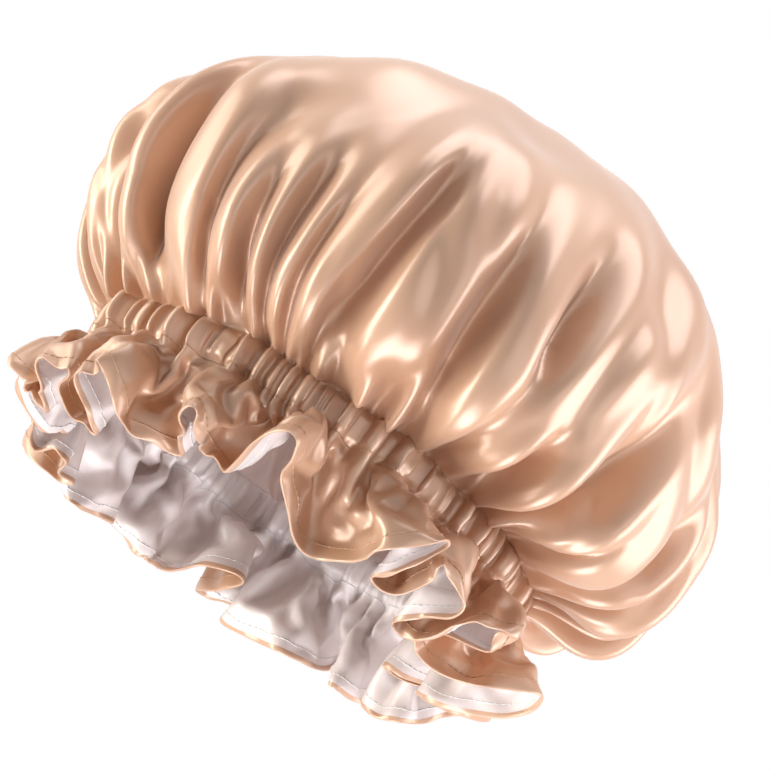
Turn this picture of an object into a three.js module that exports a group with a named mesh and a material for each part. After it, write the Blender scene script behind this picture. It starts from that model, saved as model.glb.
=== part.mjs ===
// Satin hair bonnet: a gold disc and a white disc of satin, sewn together at the hem and gathered
// by an elastic band that runs in a casing between two rows of stitches.
// Millimetres, +Z up. The origin is the middle of the head opening, on the plane the hem stands on.
// +X is the side on which the crown hangs fuller and lower.
import * as THREE from "three";

// Driving dimensions
const HEAD_ROUND = 560; // round the elastic, as it sits on an adult head
const RUFFLE_HEIGHT = 42; // lowest points of the hem to the lower row of casing stitches
const CASING_HEIGHT = 14; // between the two rows of casing stitches
const CROWN_HEIGHT = 142; // upper row of casing stitches to the top of the crown
const BELLY_RADIUS = { slim: 128, full: 134 }; // widest radius of the crown, at -X and at +X
const BELLY_HEIGHT = { slim: 66, full: 38 }; // its height above the upper stitches
const CROWN_LEAN = 8; // shift of the top of the crown towards +X
const HEM_RADIUS = { sides: 99, ends: 115 }; // middle of the hem's folds, along X and along Y
const SATIN = 0.8; // wall of each disc, thicker than the real cloth
const LAYER_GAP = 0.7; // between the gold disc and the white one
const LINING_STEP = 1.2; // the white disc stops this far short of the gold one's edge

// Folds
const HEM_FOLD = 14; // depth of a fold at the hem, each side of its middle
const HEM_LIFT = 10; // folds that stand out also stand up by this much, and those between hang down
const STITCH_FOLD = 2.2; // depth of the gathers along a row of stitches
const CASING_PUFF = 2.4; // how far the casing's walls stand off the elastic
const HEM_OVERHANG = 1.6; // how far a fold's sides lean out over its root, at the hem

// Main folds round the bonnet. Each crosses the ruffle and the crown at an angle, in degrees, stands out from
// the crown's outline by its depth, and ends at a share of the way from the stitches to the top.
const FOLDS = [
  { at: -172, depth: 7, end: 0.42 },
  { at: -154, depth: 8, end: 0.52 },
  { at: -134, depth: 9, end: 0.55 },
  { at: -113, depth: 7, end: 0.48 },
  { at: -93, depth: 8, end: 0.5 },
  { at: -74, depth: 9, end: 0.56 },
  { at: -54, depth: 8, end: 0.46 },
  { at: -35, depth: 8, end: 0.42 },
  { at: -13, depth: 7, end: 0.4 },
  { at: 7, depth: 7, end: 0.4 },
  { at: 27, depth: 8, end: 0.44 },
  { at: 46, depth: 7, end: 0.38 },
  { at: 66, depth: 8, end: 0.46 },
  { at: 87, depth: 7, end: 0.42 },
  { at: 107, depth: 8, end: 0.4 },
  { at: 126, depth: 7, end: 0.46 },
  { at: 147, depth: 8, end: 0.4 },
  { at: 168, depth: 7, end: 0.44 },
];

// Elastic and thread
const ELASTIC_WIDTH = 8;
const ELASTIC_THICK = 0.6;
const ELASTIC_LAP = 14; // its two ends overlap by this much
const LAP_GAP = 0.3; // clearance between the two lapped ends
const THREAD_RADIUS = 0.35;
const THREAD_GAP = 0.4; // clearance between a thread and the satin it lies on
const HEM_STITCH = 0.11; // row of hem stitches, as a share of the way up the ruffle
const TACK_ZIGZAGS = 6;
const TACK_WIDTH = 3;

// Mesh of the cloth: four columns of points to a fold, and fewer above the folds of the crown
const COLUMNS = 4 * FOLDS.length;
const CROWN_ROWS = [
  { share: 0.1, columns: COLUMNS },
  { share: 0.25, columns: COLUMNS },
  { share: 0.43, columns: COLUMNS },
  { share: 0.64, columns: COLUMNS / 4 },
  { share: 0.84, columns: COLUMNS / 4 },
];
const HEM_ROW = 0;
const LOWER_STITCH_ROW = 1;
const UPPER_STITCH_ROW = 4;

const TURN = 2 * Math.PI;
const RING_RADIUS = HEAD_ROUND / TURN;
const CASING_MIDDLE = RUFFLE_HEIGHT + CASING_HEIGHT / 2;
const UPPER_STITCH = RUFFLE_HEIGHT + CASING_HEIGHT;

const { degToRad, smoothstep } = THREE.MathUtils;
const mix = (a, b, share) => a + (b - a) * share;
const fold = (wave) => Math.sin(TURN * wave);
const around = (angle, radius, z) => new THREE.Vector3(radius * Math.cos(angle), radius * Math.sin(angle), z);

// A value of the folds, between one and the next. wave counts folds round the bonnet, and the middle of a
// fold is a quarter on from a whole number.
function foldValue(wave, name) {
  const place = wave - 0.25;
  const before = Math.floor(place);
  const count = FOLDS.length;
  const [low, high] = [before, before + 1].map((k) => {
    const turns = name === "at" ? 360 * Math.floor(k / count) : 0;
    return FOLDS[(k + count) % count][name] + turns;
  });
  return mix(low, high, place - before);
}

const foldAngle = (wave) => degToRad(foldValue(wave, "at"));

// Folds differ in depth at the hem.
function foldStrength(angle) {
  return 1 + 0.17 * Math.sin(4 * angle + 1.0) + 0.12 * Math.sin(7 * angle + 0.4);
}

// The ruffle spreads from the lower stitches to the hem. share is 0 at the stitches and 1 at the hem.
function rufflePoint(wave, share) {
  const angle = foldAngle(wave);
  const hem = mix(HEM_RADIUS.sides, HEM_RADIUS.ends, Math.sin(angle) ** 2);
  const depth = mix(STITCH_FOLD, HEM_FOLD * foldStrength(angle), share);
  const radius = mix(RING_RADIUS, hem, share) + depth * fold(wave);
  const lean = (HEM_OVERHANG * share * fold(2 * wave)) / hem;
  const lift = HEM_LIFT * (fold(wave) + Math.SQRT1_2);
  return around(angle - lean, radius, mix(RUFFLE_HEIGHT, lift, share));
}

// The casing's wall beside the edge of the elastic: side is -1 below it and 1 above it, puff the room it
// leaves.
function casingPoint(wave, side, puff) {
  const radius = RING_RADIUS + puff + 0.25 * STITCH_FOLD * fold(wave);
  return around(foldAngle(wave), radius, CASING_MIDDLE + side * (ELASTIC_WIDTH / 2 + 0.6));
}

// Outline of the crown over one angle, from the upper stitches out over the belly to the top.
function crownMeridian(angle) {
  const full = (1 + Math.cos(angle)) / 2;
  const belly = new THREE.Vector2(
    mix(BELLY_RADIUS.slim, BELLY_RADIUS.full, full),
    UPPER_STITCH + mix(BELLY_HEIGHT.slim, BELLY_HEIGHT.full, full),
  );
  const root = new THREE.Vector2(RING_RADIUS, UPPER_STITCH);
  const top = UPPER_STITCH + CROWN_HEIGHT;
  const leave = new THREE.Vector2(20, mix(12, 10, full));
  const outline = new THREE.CurvePath();
  outline.add(
    new THREE.CubicBezierCurve(
      root,
      root.clone().add(leave),
      new THREE.Vector2(belly.x, root.y + mix(22, -16, full)),
      belly,
    ),
  );
  outline.add(
    new THREE.CubicBezierCurve(
      belly,
      new THREE.Vector2(belly.x, mix(belly.y, top, 0.5)),
      new THREE.Vector2(0.54 * belly.x, top),
      new THREE.Vector2(0, top),
    ),
  );
  return outline;
}

// A point of the crown. share is 0 at the upper stitches and 1 at the top. A fold grows from the stitches and
// fades out towards its end.
function crownPoint(wave, share) {
  const angle = foldAngle(wave);
  const outline = crownMeridian(angle);
  const at = outline.getPointAt(share);
  const along = outline.getTangentAt(share);
  const run = share / foldValue(wave, "end");
  const lasting = smoothstep(run, 0, 0.3) * (1 - smoothstep(run, 0.4, 1.15));
  const gathers = STITCH_FOLD * Math.exp(-share / 0.05);
  const out = (gathers + foldValue(wave, "depth") * lasting) * fold(wave);
  const point = around(angle, at.x + out * along.y, at.y - out * along.x);
  const rise = (point.z - UPPER_STITCH) / CROWN_HEIGHT;
  point.x += CROWN_LEAN * rise * rise;
  return point;
}

function ring(columns, pointAt) {
  return Array.from({ length: columns }, (_, i) => pointAt(((i + 0.5) * FOLDS.length) / columns));
}

// One disc of cloth as rings of points, from its edge to the single point at the top.
function clothRows(puff, edge) {
  return [
    ring(COLUMNS, (wave) => rufflePoint(wave, edge)),
    ring(COLUMNS, (wave) => rufflePoint(wave, 0)),
    ring(COLUMNS, (wave) => casingPoint(wave, -1, puff)),
    ring(COLUMNS, (wave) => casingPoint(wave, 1, puff)),
    ring(COLUMNS, (wave) => crownPoint(wave, 0)),
    ...CROWN_ROWS.map((row) => ring(row.columns, (wave) => crownPoint(wave, row.share))),
    [crownPoint(0, 1)],
  ];
}

// Triangles between the rings, facing away from the axis, as indices into the rings laid end to end.
function clothTriangles(rows) {
  const triangles = [];
  let lower = 0;
  for (let r = 0; r + 1 < rows.length; r++) {
    const count = rows[r].length;
    const upper = lower + count;
    const upperCount = rows[r + 1].length;
    const step = count / upperCount;
    for (let i = 0; i < count; i++) {
      const here = lower + i;
      const next = lower + ((i + 1) % count);
      const above = upper + Math.floor(i / step);
      const aboveNext = upper + (Math.floor((i + 1) / step) % upperCount);
      triangles.push([here, next, aboveNext]);
      if (above !== aboveNext) triangles.push([here, aboveNext, above]);
    }
    lower = upper;
  }
  return triangles;
}

// The step that lies as near as it can to 1 away from every face round a point, so that walls keep their
// thickness at creases. The faces' normals are weighted by their corner angles.
function offsetStep(faces) {
  const mean = new THREE.Vector3();
  for (const { normal, weight } of faces) mean.addScaledVector(normal, weight);
  mean.normalize();
  const hold = 0.02;
  const sums = new THREE.Matrix3().identity().multiplyScalar(hold).toArray();
  const aim = mean.clone().multiplyScalar(hold);
  for (const { normal, weight } of faces) {
    const n = normal.toArray();
    for (let k = 0; k < 9; k++) sums[k] += weight * n[k % 3] * n[Math.floor(k / 3)];
    aim.addScaledVector(normal, weight);
  }
  return aim.applyMatrix3(new THREE.Matrix3().fromArray(sums).invert());
}

function offsetDirections(points, triangles) {
  const faces = points.map(() => []);
  for (const corners of triangles) {
    const [a, b, c] = corners.map((i) => points[i]);
    const normal = new THREE.Triangle(a, b, c).getNormal(new THREE.Vector3());
    const sides = [b.clone().sub(a), c.clone().sub(b), a.clone().sub(c)];
    corners.forEach((corner, k) => {
      const weight = Math.PI - sides[k].angleTo(sides[(k + 2) % 3]);
      faces[corner].push({ normal, weight });
    });
  }
  return faces.map(offsetStep);
}

function offsetPoints(points, directions, distance) {
  return points.map((p, i) => p.clone().addScaledVector(directions[i], distance));
}

function geometryOf(points, triangles) {
  const geometry = new THREE.BufferGeometry().setFromPoints(points);
  geometry.setIndex(triangles.flat());
  geometry.computeVertexNormals();
  return geometry;
}

// A disc of satin as a closed wall between two offsets of its rows, with its edge cut level.
function satinGeometry(rows, near, far) {
  const points = rows.flat();
  const triangles = clothTriangles(rows);
  const directions = offsetDirections(points, triangles);
  const outer = offsetPoints(points, directions, far);
  const inner = offsetPoints(points, directions, near);
  const hem = rows[HEM_ROW].length;
  for (const face of [outer, inner]) {
    for (let i = 0; i < hem; i++) {
      const rise = points[i].z - face[i].z;
      face[i].lerp(face[i + hem], rise / (face[i + hem].z - face[i].z));
    }
  }
  const count = points.length;
  const wall = triangles.flatMap(([a, b, c]) => [
    [a, b, c],
    [count + a, count + c, count + b],
  ]);
  for (let i = 0; i < hem; i++) {
    const next = (i + 1) % hem;
    wall.push([i, count + i, count + next], [i, count + next, next]);
  }
  return geometryOf([...outer, ...inner], wall);
}

// A solid through a list of sections with the same number of corners, closed into a ring or capped at
// its ends.
function loft(sections, closed) {
  const corners = sections[0].length;
  const last = closed ? sections.length : sections.length - 1;
  const triangles = [];
  for (let s = 0; s < last; s++) {
    const here = s * corners;
    const next = ((s + 1) % sections.length) * corners;
    for (let i = 0; i < corners; i++) {
      const j = (i + 1) % corners;
      triangles.push([here + i, here + j, next + j], [here + i, next + j, next + i]);
    }
  }
  if (!closed) {
    const end = (sections.length - 1) * corners;
    for (let i = 1; i + 1 < corners; i++) {
      triangles.push([0, i + 1, i], [end, end + i, end + i + 1]);
    }
  }
  return geometryOf(sections.flat(), triangles);
}

// A four-sided thread along a path; outward gives the way each of its points faces.
function threadGeometry(path, outward, closed) {
  const sections = path.map((p, i) => {
    const before = path[closed ? (i + path.length - 1) % path.length : Math.max(i - 1, 0)];
    const after = path[closed ? (i + 1) % path.length : Math.min(i + 1, path.length - 1)];
    const along = after.clone().sub(before).normalize();
    const side = new THREE.Vector3().crossVectors(along, outward[i]).normalize();
    const up = new THREE.Vector3().crossVectors(side, along);
    const spokes = [up, side, up.clone().negate(), side.clone().negate()];
    return spokes.map((spoke) => p.clone().addScaledVector(spoke, -THREAD_RADIUS));
  });
  return loft(sections, closed);
}

// A row of stitches on one face of the satin: share runs from the named row of points to the next one up.
// Between two rows it follows the edges of the cloth's triangles, upright and slanting by turns.
function stitchRow(rows, row, share, distance) {
  const points = rows.flat();
  const directions = offsetDirections(points, clothTriangles(rows));
  const start = rows.slice(0, row).flat().length;
  const count = rows[row].length;
  const path = [];
  const outward = [];
  for (let i = 0; i < count; i++) {
    const here = start + i;
    const ends = [here + count, start + count + ((i + 1) % count)];
    for (const end of share > 0 ? ends : [here]) {
      const facing = directions[here].clone().lerp(directions[end], share);
      path.push(points[here].clone().lerp(points[end], share).addScaledVector(facing, distance));
      outward.push(facing.clone().multiplyScalar(Math.sign(distance)).normalize());
    }
  }
  return threadGeometry(path, outward, true);
}

// Flat elastic strip, once round the ring, with its ends lapped one outside the other.
function elasticGeometry() {
  const sweep = TURN + ELASTIC_LAP / RING_RADIUS;
  const rise = ELASTIC_THICK + LAP_GAP;
  const low = CASING_MIDDLE - ELASTIC_WIDTH / 2;
  const high = CASING_MIDDLE + ELASTIC_WIDTH / 2;
  const sections = Array.from({ length: COLUMNS + 1 }, (_, i) => {
    const share = i / COLUMNS;
    const inside = RING_RADIUS - ELASTIC_THICK - LAP_GAP / 2 + rise * share;
    const outside = inside + ELASTIC_THICK;
    const angle = sweep * share;
    return [
      around(angle, inside, low),
      around(angle, inside, high),
      around(angle, outside, high),
      around(angle, outside, low),
    ];
  });
  return loft(sections, false);
}

// Zigzag of thread that holds the elastic's lap, on its outer face.
function tackGeometry() {
  const radius = RING_RADIUS + ELASTIC_THICK + LAP_GAP / 2 + THREAD_GAP + THREAD_RADIUS;
  const steps = 2 * TACK_ZIGZAGS;
  const path = [];
  const outward = [];
  for (let i = 0; i <= steps; i++) {
    const angle = ((0.2 + (0.6 * i) / steps) * ELASTIC_LAP) / RING_RADIUS;
    const swing = i % 2 === 0 ? -TACK_WIDTH / 2 : TACK_WIDTH / 2;
    path.push(around(angle, radius, CASING_MIDDLE + swing));
    outward.push(around(angle, 1, 0));
  }
  return threadGeometry(path, outward, false);
}

const GOLD_SATIN = new THREE.MeshStandardMaterial({ color: 0xcf9c76, roughness: 0.32, metalness: 0.15 });
const WHITE_SATIN = new THREE.MeshStandardMaterial({ color: 0xe9e6ec, roughness: 0.4, metalness: 0 });
const ELASTIC = new THREE.MeshStandardMaterial({ color: 0xf2f0ea, roughness: 0.85, metalness: 0 });
const GOLD_THREAD = new THREE.MeshStandardMaterial({ color: 0xd9ab85, roughness: 0.5, metalness: 0 });
const WHITE_THREAD = new THREE.MeshStandardMaterial({ color: 0xf0eef2, roughness: 0.5, metalness: 0 });

const bonnet = new THREE.Group();

function addPiece(name, geometry, material) {
  const mesh = new THREE.Mesh(geometry, material);
  mesh.name = name;
  bonnet.add(mesh);
}

const near = LAYER_GAP / 2;
const far = near + SATIN;
const onFace = far + THREAD_GAP + THREAD_RADIUS;
const goldRows = clothRows(CASING_PUFF, 1);
const whiteRows = clothRows(-CASING_PUFF, 1 - LINING_STEP / RUFFLE_HEIGHT);

addPiece("outer_satin", satinGeometry(goldRows, near, far), GOLD_SATIN);
addPiece("lining_satin", satinGeometry(whiteRows, -far, -near), WHITE_SATIN);
addPiece("elastic_band", elasticGeometry(), ELASTIC);
addPiece("elastic_lap_tack", tackGeometry(), WHITE_THREAD);

const STITCH_ROWS = [
  { name: "hem", row: HEM_ROW, share: HEM_STITCH },
  { name: "lower_casing", row: LOWER_STITCH_ROW, share: 0 },
  { name: "upper_casing", row: UPPER_STITCH_ROW, share: 0 },
];
for (const { name, row, share } of STITCH_ROWS) {
  addPiece(name + "_needle_thread", stitchRow(goldRows, row, share, onFace), GOLD_THREAD);
  addPiece(name + "_bobbin_thread", stitchRow(whiteRows, row, share, -onFace), WHITE_THREAD);
}

export default bonnet;
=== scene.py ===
# %% [markdown]
# # A satin hair bonnet
# A hair bonnet is two round pieces of satin, gold outside and white inside, sewn together round
# the hem. Two more rows of stitches make a channel for an elastic. The elastic pulls the channel
# in to the size of a head, so the cloth above it stands in folds and the cloth below it flares
# out as a ruffle. The CAD model is loaded first: it is the frame that says where the stitches,
# the elastic and the hem are, and every piece made here goes into that place.

# %% Load the CAD frame
import math
import bpy
import numpy as np
from mathutils import Matrix, Vector
from mathutils.bvhtree import BVHTree


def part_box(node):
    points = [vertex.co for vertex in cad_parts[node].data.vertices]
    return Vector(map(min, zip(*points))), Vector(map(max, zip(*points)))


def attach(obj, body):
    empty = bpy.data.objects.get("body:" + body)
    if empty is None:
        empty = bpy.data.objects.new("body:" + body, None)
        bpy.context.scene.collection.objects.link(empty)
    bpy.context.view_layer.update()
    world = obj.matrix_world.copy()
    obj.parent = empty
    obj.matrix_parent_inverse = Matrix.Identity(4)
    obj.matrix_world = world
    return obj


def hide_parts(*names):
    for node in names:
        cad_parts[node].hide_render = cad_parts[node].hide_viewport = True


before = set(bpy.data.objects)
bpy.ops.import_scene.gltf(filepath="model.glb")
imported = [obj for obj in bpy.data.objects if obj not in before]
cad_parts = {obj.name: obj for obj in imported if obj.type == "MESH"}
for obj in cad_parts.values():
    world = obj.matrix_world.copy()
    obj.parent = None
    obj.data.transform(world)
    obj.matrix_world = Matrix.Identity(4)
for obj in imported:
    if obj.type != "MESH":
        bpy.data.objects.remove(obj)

MM = 0.001
scene = bpy.context.scene
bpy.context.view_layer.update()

# %% [markdown]
# ## The camera
# The photograph looks a little upwards into the opening, and the picture is turned so that the
# bonnet leans to the right. Both could be had by turning the bonnet, but the object has to stay in
# the frame it shares with the other models, so the camera goes below the hem and rolls instead.
# A long lens from far away keeps the near ruffle from looking too big.

# %% Camera
PICTURE_PIXELS = 770
PIXELS_PER_METRE = 2760
CAMERA_LIFT = math.radians(-16)
CAMERA_ROLL = math.radians(35)
CAMERA_AWAY = 1.4
SENSOR = 36
AIM_POINT = Vector((0, 0, 48.5 * MM))
AIM_PIXEL = (307, 470)

ahead = Vector((0, math.cos(CAMERA_LIFT), -math.sin(CAMERA_LIFT)))
level = Vector((1, 0, 0))
above = level.cross(ahead)
across = level * math.cos(CAMERA_ROLL) + above * math.sin(CAMERA_ROLL)
upright = above * math.cos(CAMERA_ROLL) - level * math.sin(CAMERA_ROLL)


def add_camera():
    middle = PICTURE_PIXELS / 2
    aim = AIM_POINT + across * ((middle - AIM_PIXEL[0]) / PIXELS_PER_METRE)
    aim = aim + upright * ((AIM_PIXEL[1] - middle) / PIXELS_PER_METRE)
    turn = Matrix((across, upright, -ahead)).transposed().to_euler()
    bpy.ops.object.camera_add(location=aim - ahead * CAMERA_AWAY, rotation=turn)
    camera = bpy.context.object
    camera.name = "photo_camera"
    camera.data.sensor_width = SENSOR
    camera.data.lens = SENSOR * PIXELS_PER_METRE * CAMERA_AWAY / PICTURE_PIXELS
    return camera


scene.camera = add_camera()
scene.view_settings.view_transform = "Standard"
print("camera lens in mm:", round(scene.camera.data.lens, 1))

# %% [markdown]
# ## White surroundings and soft lamps
# The photograph is a studio shot on white. The world could be one white dome, but then the satin
# would have no light and dark side. So the world shows white to the camera and to reflections,
# lights the cloth only dimly, and wide lamps do the rest. Two from the left, a little warm, catch
# the left flanks of the folds. Three from the right make that side pale, and one from below
# lights the white lining. What faces the camera gets the least, so the hollows stay dark.

# %% World
FILL_LIGHT = 0.03


def node_in(tree, kind, **settings):
    node = tree.nodes.new(kind)
    for name, value in settings.items():
        setattr(node, name, value)
    return node


def white_world():
    world = bpy.data.worlds.new("white_studio")
    world.use_nodes = True
    tree = world.node_tree
    tree.nodes.clear()
    path = node_in(tree, "ShaderNodeLightPath")
    seen = node_in(tree, "ShaderNodeMath", operation="MAXIMUM")
    shown = node_in(tree, "ShaderNodeMath", operation="MAXIMUM")
    fill = node_in(tree, "ShaderNodeBackground")
    white = node_in(tree, "ShaderNodeBackground")
    pick = node_in(tree, "ShaderNodeMixShader")
    out = node_in(tree, "ShaderNodeOutputWorld")
    fill.inputs["Color"].default_value = (1, 1, 1, 1)
    fill.inputs["Strength"].default_value = FILL_LIGHT
    white.inputs["Color"].default_value = (1, 1, 1, 1)
    white.inputs["Strength"].default_value = 1.0
    tree.links.new(path.outputs["Is Camera Ray"], seen.inputs[0])
    tree.links.new(path.outputs["Is Glossy Ray"], seen.inputs[1])
    tree.links.new(seen.outputs[0], shown.inputs[0])
    tree.links.new(path.outputs["Is Transmission Ray"], shown.inputs[1])
    tree.links.new(shown.outputs[0], pick.inputs["Fac"])
    tree.links.new(fill.outputs[0], pick.inputs[1])
    tree.links.new(white.outputs[0], pick.inputs[2])
    tree.links.new(pick.outputs[0], out.inputs["Surface"])
    return world


scene.world = white_world()
print("world:", scene.world.name)

# %% Lamps
# Each one: place across, upright and towards the camera in metres, size in metres, watts, tint.
LAMP_AIM = Vector((0, 0, 100 * MM))
LAMPS = {
    "upper_right": ((0.6, 1.1, -0.1), (1.4, 1.0), 20, (1, 0.96, 0.97)),
    "right_side": ((1.2, -0.6, 0.1), (1.0, 1.3), 23, (1, 0.96, 0.97)),
    "front_right": ((0.8, 0.0, 1.2), (0.8, 0.8), 2.5, (1, 0.96, 0.97)),
    "upper_left": ((-1.0, 0.7, -0.1), (0.8, 1.2), 11, (1, 0.95, 0.86)),
    "left_side": ((-1.2, 0.1, 0.3), (0.4, 1.2), 15, (1, 0.95, 0.86)),
    "below": ((-0.4, -1.2, 0.6), (1.2, 0.8), 25, (1, 0.96, 0.96)),
}


def add_lamp(name, place, size, watts, tint):
    spot = LAMP_AIM + across * place[0] + upright * place[1] - ahead * place[2]
    turn = (LAMP_AIM - spot).to_track_quat("-Z", "Y").to_euler()
    bpy.ops.object.light_add(type="AREA", location=spot, rotation=turn)
    lamp = bpy.context.object
    lamp.name = name + "_lamp"
    lamp.data.shape = "RECTANGLE"
    lamp.data.size = size[0]
    lamp.data.size_y = size[1]
    lamp.data.energy = watts
    lamp.data.color = tint


for lamp_name, settings in LAMPS.items():
    add_lamp(lamp_name, *settings)
print("lamps:", ", ".join(LAMPS))

# %% [markdown]
# ## The floor
# The bonnet stands on its hem, so the floor is the plane of the hem. The photograph's camera is
# below that plane. A plain floor would hide the bonnet from there and keep the light out of it,
# so this one shows only to a camera above it, where it takes the bonnet's shadow. Away from the
# bonnet it fades into the white world, as a studio's paper does where it curves up.

# %% Floor
FLOOR_SIZE = 2.0
FLOOR_DROP = 0.5 * MM
FLOOR_COLOUR = (0.9, 0.9, 0.9, 1)
FLOOR_FADE = (0.25, 0.8)


def floor_finish():
    finish = bpy.data.materials.new("pale_floor")
    finish.use_nodes = True
    tree = finish.node_tree
    tree.nodes.clear()
    path = node_in(tree, "ShaderNodeLightPath")
    side = node_in(tree, "ShaderNodeNewGeometry")
    front = node_in(tree, "ShaderNodeMath", operation="SUBTRACT", use_clamp=True)
    place = node_in(tree, "ShaderNodeTexCoord")
    away = node_in(tree, "ShaderNodeVectorMath", operation="LENGTH")
    fade = node_in(tree, "ShaderNodeMapRange", interpolation_type="SMOOTHSTEP")
    near = node_in(tree, "ShaderNodeMath", operation="MULTIPLY")
    pale = node_in(tree, "ShaderNodeBsdfDiffuse")
    clear = node_in(tree, "ShaderNodeBsdfTransparent")
    pick = node_in(tree, "ShaderNodeMixShader")
    out = node_in(tree, "ShaderNodeOutputMaterial")
    pale.inputs["Color"].default_value = FLOOR_COLOUR
    tree.links.new(path.outputs["Is Camera Ray"], front.inputs[0])
    tree.links.new(side.outputs["Backfacing"], front.inputs[1])
    tree.links.new(place.outputs["Object"], away.inputs[0])
    tree.links.new(away.outputs["Value"], fade.inputs["Value"])
    fade.inputs["From Min"].default_value = FLOOR_FADE[0]
    fade.inputs["From Max"].default_value = FLOOR_FADE[1]
    fade.inputs["To Min"].default_value = 1
    fade.inputs["To Max"].default_value = 0
    tree.links.new(front.outputs[0], near.inputs[0])
    tree.links.new(fade.outputs["Result"], near.inputs[1])
    tree.links.new(near.outputs[0], pick.inputs["Fac"])
    tree.links.new(clear.outputs[0], pick.inputs[1])
    tree.links.new(pale.outputs[0], pick.inputs[2])
    tree.links.new(pick.outputs[0], out.inputs["Surface"])
    return finish


def add_floor(height):
    bpy.ops.object.select_all(action="DESELECT")
    bpy.ops.mesh.primitive_plane_add(size=FLOOR_SIZE, location=(0, 0, height))
    floor = bpy.context.object
    floor.name = "pale_floor"
    floor.data.materials.append(floor_finish())


add_floor(-FLOOR_DROP)
print("floor at", -FLOOR_DROP, "m")

# %% [markdown]
# ## The flat cloth
# Each piece of satin is cut as a disc. A disc could be a fan of triangles round its middle, but
# a fan crowds its faces there and wrinkles badly. A square grid that is bent out to a circle, with
# rings of faces round it, keeps the faces near square, like the threads of the weave. A place on
# the cloth is given by its distance from the middle of the disc and its angle, both while flat.

# %% Rings of the disc
FLAT_CROWN = 246.0
FLAT_CASING = 14.0
FLAT_RUFFLE = 46.0
HEM_STITCH_IN = 5.0
UPPER_STITCH = FLAT_CROWN
LOWER_STITCH = FLAT_CROWN + FLAT_CASING
HEM = LOWER_STITCH + FLAT_RUFFLE
COLUMNS = 400
GRID_REACH = 200.0
CROWN_RINGS = 11
CASING_RINGS = 7
RUFFLE_RINGS = 11
HEM_RINGS = 2


def ring_distances():
    crown = np.linspace(GRID_REACH, UPPER_STITCH, CROWN_RINGS + 1)[1:]
    casing = np.linspace(UPPER_STITCH, LOWER_STITCH, CASING_RINGS + 1)[1:]
    ruffle = np.linspace(LOWER_STITCH, HEM - HEM_STITCH_IN, RUFFLE_RINGS + 1)[1:]
    hem = np.linspace(HEM - HEM_STITCH_IN, HEM, HEM_RINGS + 1)[1:]
    return np.concatenate([crown, casing, ruffle, hem])


print("rings round the grid:", len(ring_distances()))


# %% Grid in the middle
def round_grid(steps):
    even = np.linspace(-1, 1, steps + 1)
    across_grid, up_grid = np.meshgrid(even, even, indexing="ij")
    spread = np.sin(np.pi / 4 * across_grid) / np.sin(np.pi / 4)
    rise = np.sin(np.pi / 4 * up_grid) / np.sin(np.pi / 4)
    x = spread * np.sqrt(1 - rise**2 / 2)
    y = rise * np.sqrt(1 - spread**2 / 2)
    return x.ravel() * GRID_REACH, y.ravel() * GRID_REACH


def grid_faces(steps):
    number = np.arange((steps + 1) ** 2).reshape(steps + 1, steps + 1)
    corners = [number[:-1, :-1], number[1:, :-1], number[1:, 1:], number[:-1, 1:]]
    rim = [number[-1, :-1], number[:0:-1, -1], number[0, :0:-1], number[:-1, 0]]
    return np.stack(corners, -1).reshape(-1, 4), np.concatenate(rim)


# %% Flat disc with its rings
def ring_faces(inner, outer):
    return np.stack([inner, outer, np.roll(outer, -1), np.roll(inner, -1)], -1)


def flat_disc():
    steps = COLUMNS // 4
    x, y = round_grid(steps)
    faces, rim = grid_faces(steps)
    angle = np.arctan2(y, x)
    distances = [np.hypot(x, y)]
    angles = [angle]
    face_sets = [faces]
    rings = [rim]
    for distance in ring_distances():
        ring = np.arange(COLUMNS) + sum(len(part) for part in distances)
        distances.append(np.full(COLUMNS, distance))
        angles.append(angle[rim])
        face_sets.append(ring_faces(rings[-1], ring))
        rings.append(ring)
    return np.concatenate(distances), np.concatenate(angles), np.concatenate(face_sets), rings


def ring_at(distance):
    places = [flat_distance[ring[0]] for ring in cloth_rings]
    return cloth_rings[int(np.argmin(np.abs(np.array(places) - distance)))]


flat_distance, flat_angle, cloth_faces, cloth_rings = flat_disc()
print("flat disc:", len(flat_distance), "points,", len(cloth_faces), "faces,", 2 * HEM, "mm across")

# %% [markdown]
# ## The crown's outline
# Seen from the side, the crown leaves the upper stitches, swells out over them, turns over at its
# belly and closes to the top. It leans to one side, where it is fuller. Two curves joined at
# the belly give this outline, as in the CAD model, and steps of even length along them say where
# each ring of the cloth goes.

# %% Outline of one side
# Pairs of values are for the slim side and the full side.
TURN = 2 * np.pi
low_stitches, high_stitches = (
    np.mean([corner[2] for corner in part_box(name)]) / MM
    for name in ("lower_casing_needle_thread", "upper_casing_needle_thread")
)
crown_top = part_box("outer_satin")[1][2] / MM
HEAD_ROUND = 560.0
RING_RADIUS = HEAD_ROUND / TURN
BELLY_RADIUS = (128, 134)
BELLY_HEIGHT = (66, 38)
CROWN_LEAN = 8
LEAVE_OUT = 20
LEAVE_UP = (12, 10)
BELLY_TURN = (22, -16)
TOP_REACH = 0.54
CURVE_STEPS = 80
SIDES = 33


def between(low, high, share):
    return low + (high - low) * share


def smooth_step(low, high, value):
    share = np.clip((value - low) / (high - low), 0, 1)
    return share * share * (3 - 2 * share)


def curve(start, leave, arrive, end):
    t = np.linspace(0, 1, CURVE_STEPS)
    back = 1 - t
    return back**3 * start + 3 * back**2 * t * leave + 3 * back * t**2 * arrive + t**3 * end


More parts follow.
